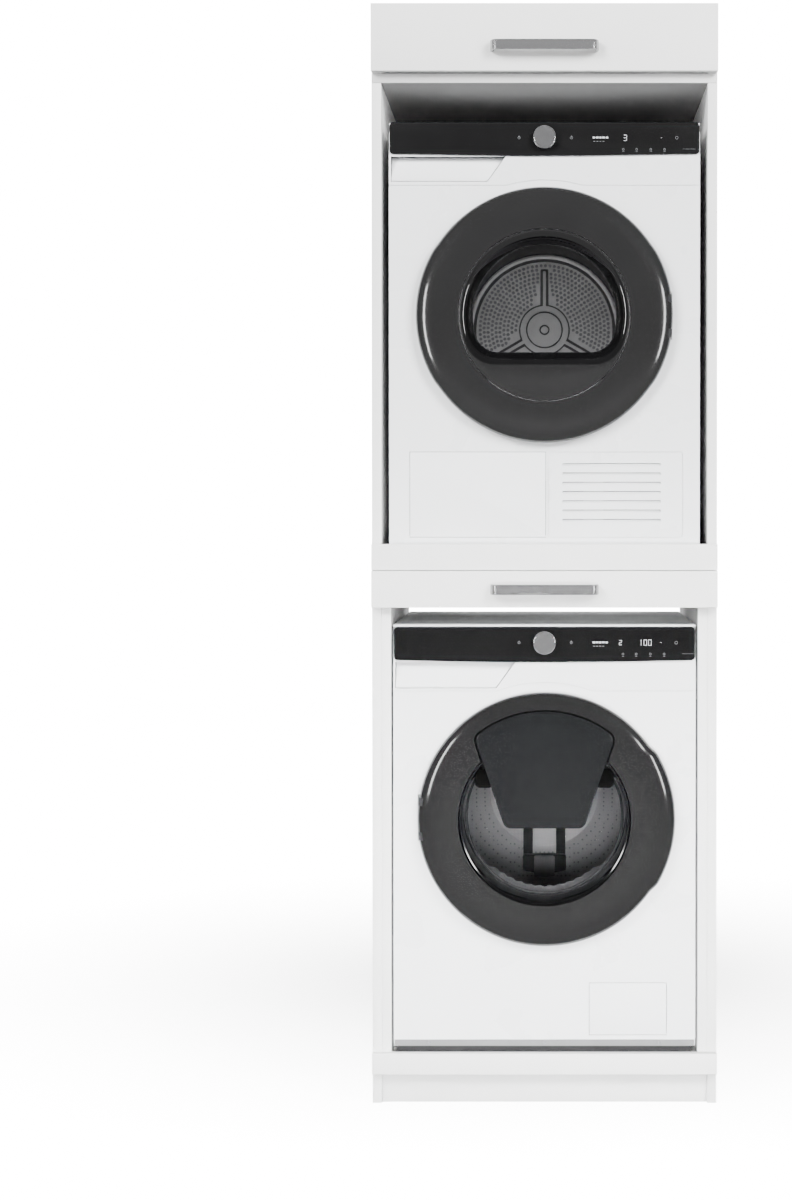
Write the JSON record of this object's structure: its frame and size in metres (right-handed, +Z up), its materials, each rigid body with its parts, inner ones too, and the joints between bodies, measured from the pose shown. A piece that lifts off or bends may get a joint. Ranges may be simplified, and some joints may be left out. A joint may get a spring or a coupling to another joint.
{
  "type": "washer dryer stack",
  "caption": "Front-loading washer under a heat pump dryer in a tall white cabinet with a top drawer and a pull-out shelf",
  "frame": {"origin": "on the floor, at the bottom centre of the bounding box", "axes": "+Z up, +X to the right as seen from the front, front faces -Y"},
  "size_m": [0.68, 0.65, 2.164],
  "materials": {
    "white_board": "white melamine faced chipboard, fine satin",
    "drawer_board": "pale melamine drawer board",
    "runner_steel": "zinc plated steel runner",
    "handle_metal": "satin nickel bar handle",
    "white_enamel": "smooth white enamel",
    "white_plastic": "smooth white plastic",
    "lid_board": "pale grey top plate",
    "panel_black": "gloss black control panel",
    "knob_metal": "satin knob with a bright rim",
    "door_grey": "dark grey gloss ring",
    "hatch_dark": "smoked hatch cover",
    "door_glass": "tinted door glass",
    "hinge_steel": "zinc plated hinge",
    "seal_rubber": "grey door seal",
    "tub_plastic": "fibre filled polypropylene",
    "drum_steel": "perforated stainless steel",
    "pulley_alloy": "cast alloy",
    "belt_rubber": "ribbed drive belt",
    "motor_grey": "motor and pump bodies",
    "weight_iron": "counterweight",
    "suspension_steel": "springs and dampers",
    "pump_plastic": "pump housing and filter",
    "foot_rubber": "black feet",
    "filter_plastic": "lint filter frame",
    "galvanised": "galvanised bulkhead"
  },
  "bodies": {
    "stack": {"side_panel_left": "white_board", "side_panel_right": "white_board", "liner_left": "white_board", "liner_right": "white_board", "ceiling_board": "white_board", "drawer_cheeks": "white_board", "top_panel": "white_board", "dryer_shelf": "white_board", "middle_rail": "white_board", "washer_shelf": "white_board", "bottom_rail": "white_board", "plinth_board": "white_board", "back_stretchers": "white_board", "cabinet_runners": "runner_steel", "washer_housing": "white_enamel", "washer_front": "white_enamel", "dryer_housing": "white_enamel", "dryer_front": "white_enamel", "washer_top": "lid_board", "washer_fascia": "panel_black", "dryer_fascia": "panel_black", "washer_hinge": "hinge_steel", "dryer_hinge": "hinge_steel", "washer_gasket": "seal_rubber", "washer_tub": "tub_plastic", "washer_belt": "belt_rubber", "washer_motor": "motor_grey", "counterweight": "weight_iron", "washer_suspension": "suspension_steel", "drain_pump": "pump_plastic", "water_inlet": "pump_plastic", "dryer_heat_pump": "pump_plastic", "washer_feet": "foot_rubber", "dryer_feet": "foot_rubber", "dryer_bulkhead": "galvanised"},
    "top_drawer": {"drawer_front": "white_board", "drawer_box": "drawer_board", "drawer_slides": "runner_steel", "drawer_handle": "handle_metal"},
    "pullout": {"pullout_front": "white_board", "pullout_board": "white_board", "pullout_slides": "runner_steel", "pullout_handle": "handle_metal"},
    "washer_door": {"washer_door_ring": "door_grey", "washer_door_bowl": "door_glass"},
    "hatch": {"add_hatch": "hatch_dark"},
    "washer_knob": {"washer_knob": "knob_metal"},
    "detergent_drawer": {"detergent_drawer": "white_plastic"},
    "washer_drum": {"washer_drum": "drum_steel", "washer_pulley": "pulley_alloy"},
    "motor_pulley": {"washer_motor_pulley": "pulley_alloy"},
    "filter_flap": {"filter_flap": "white_plastic"},
    "filter_cap": {"filter_cap": "pump_plastic"},
    "dryer_door": {"dryer_door_ring": "door_grey", "dryer_door_window": "door_glass"},
    "dryer_knob": {"dryer_knob": "knob_metal"},
    "tank_drawer": {"tank_drawer": "white_plastic"},
    "dryer_drum": {"dryer_drum": "drum_steel"},
    "service_flap": {"service_flap": "white_plastic"},
    "lint_filter": {"lint_filter": "filter_plastic"}
  },
  "joints": [
    {"name": "drawer_slide", "type": "slide", "parent": "stack", "child": "top_drawer", "axis": [0, -1, 0], "range_m": [0, 0.4]},
    {"name": "shelf_slide", "type": "slide", "parent": "stack", "child": "pullout", "axis": [0, -1, 0], "range_m": [0, 0.38]},
    {"name": "washer_door_hinge", "type": "hinge", "parent": "stack", "child": "washer_door", "pos_m": [-0.2395, -0.2825, 0.565], "axis": [0, 0, -1], "range_deg": [0, 140]},
    {"name": "hatch_hinge", "type": "hinge", "parent": "washer_door", "child": "hatch", "pos_m": [0, -0.295, 0.557], "axis": [1, 0, 0], "range_deg": [0, 85]},
    {"name": "washer_knob_turn", "type": "hinge", "parent": "stack", "child": "washer_knob", "pos_m": [0, -0.27, 0.9115], "axis": [0, -1, 0], "continuous": true},
    {"name": "detergent_slide", "type": "slide", "parent": "stack", "child": "detergent_drawer", "axis": [0, -1, 0], "range_m": [0, 0.2]},
    {"name": "washer_drum_spin", "type": "hinge", "parent": "stack", "child": "washer_drum", "pos_m": [0, -0.27, 0.565], "axis": [0, 1, 0], "continuous": true},
    {"name": "motor_spin", "type": "hinge", "parent": "stack", "child": "motor_pulley", "pos_m": [0, 0.17, 0.223], "axis": [0, 1, 0], "continuous": true},
    {"name": "filter_flap_hinge", "type": "hinge", "parent": "stack", "child": "filter_flap", "pos_m": [0.165, -0.268, 0.1361], "axis": [1, 0, 0], "range_deg": [0, 90]},
    {"name": "filter_cap_turn", "type": "hinge", "parent": "stack", "child": "filter_cap", "pos_m": [0.165, -0.27, 0.182], "axis": [0, -1, 0], "range_deg": [0, 120]},
    {"name": "dryer_door_hinge", "type": "hinge", "parent": "stack", "child": "dryer_door", "pos_m": [0.2405, -0.2845, 1.5545], "axis": [0, 0, 1], "range_deg": [0, 140]},
    {"name": "dryer_knob_turn", "type": "hinge", "parent": "stack", "child": "dryer_knob", "pos_m": [0, -0.272, 1.905], "axis": [0, -1, 0], "continuous": true},
    {"name": "tank_slide", "type": "slide", "parent": "stack", "child": "tank_drawer", "axis": [0, -1, 0], "range_m": [0, 0.3]},
    {"name": "dryer_drum_spin", "type": "hinge", "parent": "stack", "child": "dryer_drum", "pos_m": [0, -0.272, 1.5545], "axis": [0, 1, 0], "continuous": true},
    {"name": "service_flap_hinge", "type": "hinge", "parent": "stack", "child": "service_flap", "pos_m": [-0.1315, -0.27, 1.1216], "axis": [1, 0, 0], "range_deg": [0, 90]},
    {"name": "lint_filter_lift", "type": "slide", "parent": "stack", "child": "lint_filter", "axis": [0, 0, 1], "range_m": [0, 0.1]}
  ],
  "couplings": [
    {"joint": "motor_spin", "follows": "washer_drum_spin", "ratio": 11.667}
  ]
}
